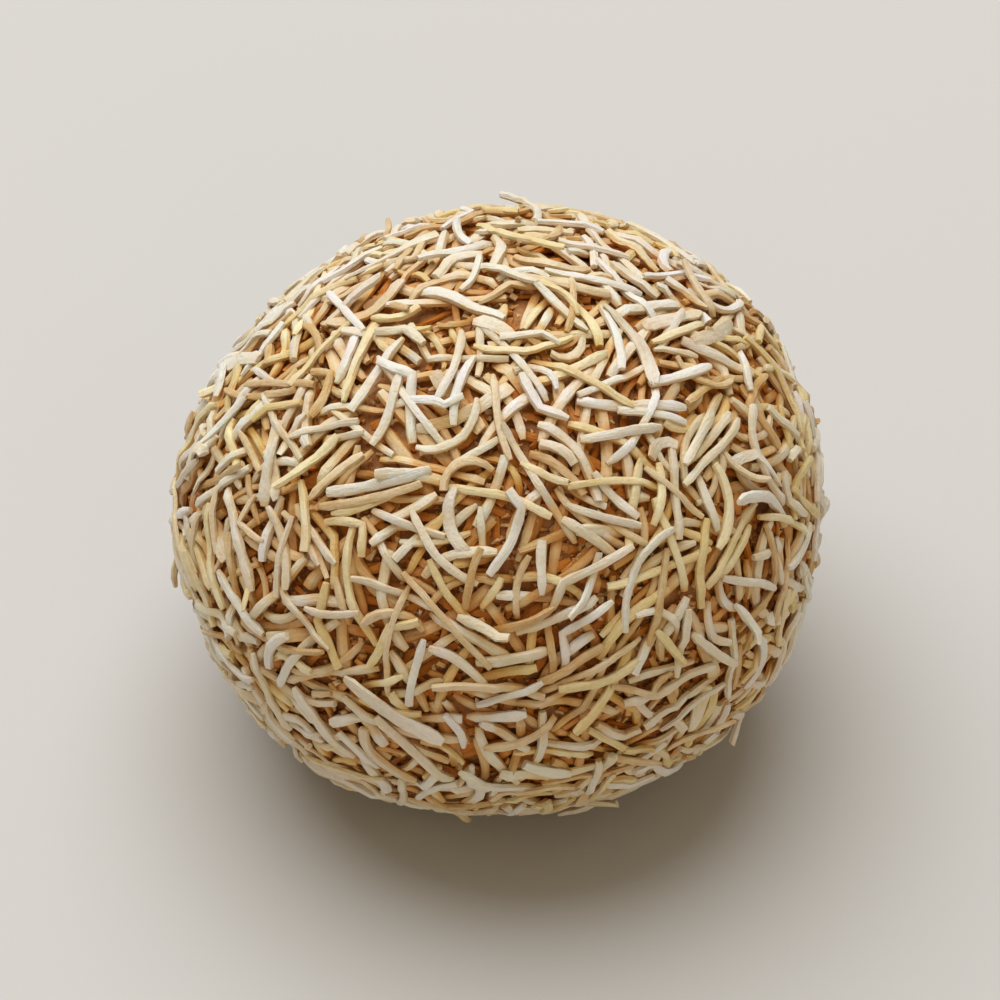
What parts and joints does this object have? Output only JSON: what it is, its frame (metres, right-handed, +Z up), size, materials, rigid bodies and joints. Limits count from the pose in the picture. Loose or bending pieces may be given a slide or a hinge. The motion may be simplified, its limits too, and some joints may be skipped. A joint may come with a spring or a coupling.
{
  "type": "kunafa ball",
  "caption": "Hand-rolled ball of brown date and chocolate paste coated all over with short roasted kunafa pastry threads; it rests on a small flat spot.",
  "frame": {"origin": "middle of the flat spot that the ball rests on", "axes": "+Z up; the picture looks along +Y and down, with +X to its right"},
  "size_m": [0.0338, 0.0342, 0.0287],
  "materials": {
    "roasted_kunafa": "dry and rough",
    "date_paste": "slightly oily"
  },
  "bodies": {
    "root": {"kunafa_ball": "roasted_kunafa"}
  },
  "joints": []
}
